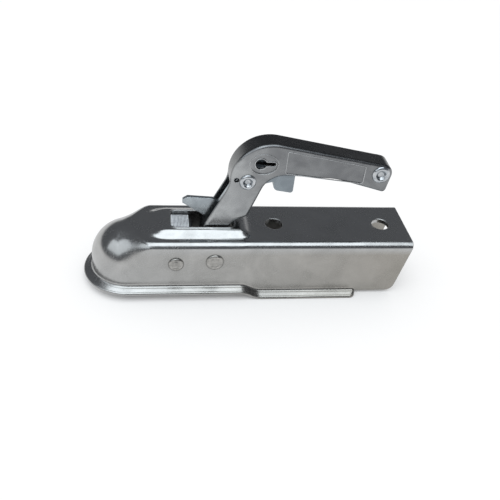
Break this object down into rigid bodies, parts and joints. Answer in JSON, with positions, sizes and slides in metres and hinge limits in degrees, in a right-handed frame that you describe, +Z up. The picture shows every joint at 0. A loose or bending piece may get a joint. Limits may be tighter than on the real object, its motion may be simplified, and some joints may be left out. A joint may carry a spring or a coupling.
{
  "type": "trailer coupler",
  "caption": "Pressed steel trailer coupling head for a tow ball, with hinged locking handle, safety catch and sprung ball jaw.",
  "frame": {"origin": "centre of the ball seat, where the tow ball's centre sits", "axes": "+X rearwards along the drawbar, +Z up, +Y across; the coupler is symmetric about Y = 0"},
  "size_m": [0.2626, 0.072, 0.1264],
  "materials": {
    "body_zinc": "bright zinc plate on pressed steel, satin",
    "handle_zinc": "zinc plate on pressed steel, satin and slightly grainy",
    "catch_zinc": "zinc plate with a cool tint, satin",
    "pivot_rivet_zinc": "zinc plate, hammered head",
    "tube_rivet_zinc": "bright zinc plate, rolled ring",
    "spacer_zinc": "zinc plate",
    "jaw_steel": "dark greased steel",
    "bush_bronze": "sintered bronze",
    "spring_steel": "bright zinc plated spring wire"
  },
  "bodies": {
    "body": {"coupling_body": "body_zinc", "jaw_rivet": "pivot_rivet_zinc", "handle_rivet": "pivot_rivet_zinc", "jaw_spacer_near": "spacer_zinc", "jaw_spacer_far": "spacer_zinc", "handle_spacer_near": "spacer_zinc", "handle_spacer_far": "spacer_zinc", "jaw_spring": "spring_steel"},
    "jaw": {"ball_jaw": "jaw_steel", "jaw_bush_near": "bush_bronze", "jaw_bush_far": "bush_bronze", "spring_stud": "spacer_zinc"},
    "handle": {"handle_shell": "handle_zinc", "handle_bush": "bush_bronze", "locking_cam": "jaw_steel", "cam_rivets": "tube_rivet_zinc", "catch_pivot_rivet": "tube_rivet_zinc", "handle_end_rivet": "tube_rivet_zinc", "handle_end_spacer": "spacer_zinc", "catch_spring": "spring_steel"},
    "catch": {"catch_lever": "catch_zinc", "catch_bush": "spacer_zinc"}
  },
  "joints": [
    {"name": "handle_lift", "type": "hinge", "parent": "body", "child": "handle", "pos_m": [0.0666, 0, 0.014], "axis": [0, -1, 0], "range_deg": [0, 22]},
    {"name": "jaw_open", "type": "hinge", "parent": "body", "child": "jaw", "pos_m": [0.0367, 0, 0.012], "axis": [0, -1, 0], "range_deg": [0, 12], "deforming": ["jaw_spring"]},
    {"name": "catch_squeeze", "type": "hinge", "parent": "handle", "child": "catch", "pos_m": [0.0891, 0, 0.0751], "axis": [0, -1, 0], "range_deg": [0, 6], "stiffness_Nm_per_rad": 0.6, "deforming": ["catch_spring"]}
  ],
  "couplings": [
    {"joint": "jaw_open", "follows": "handle_lift", "ratio": 0.5454}
  ]
}
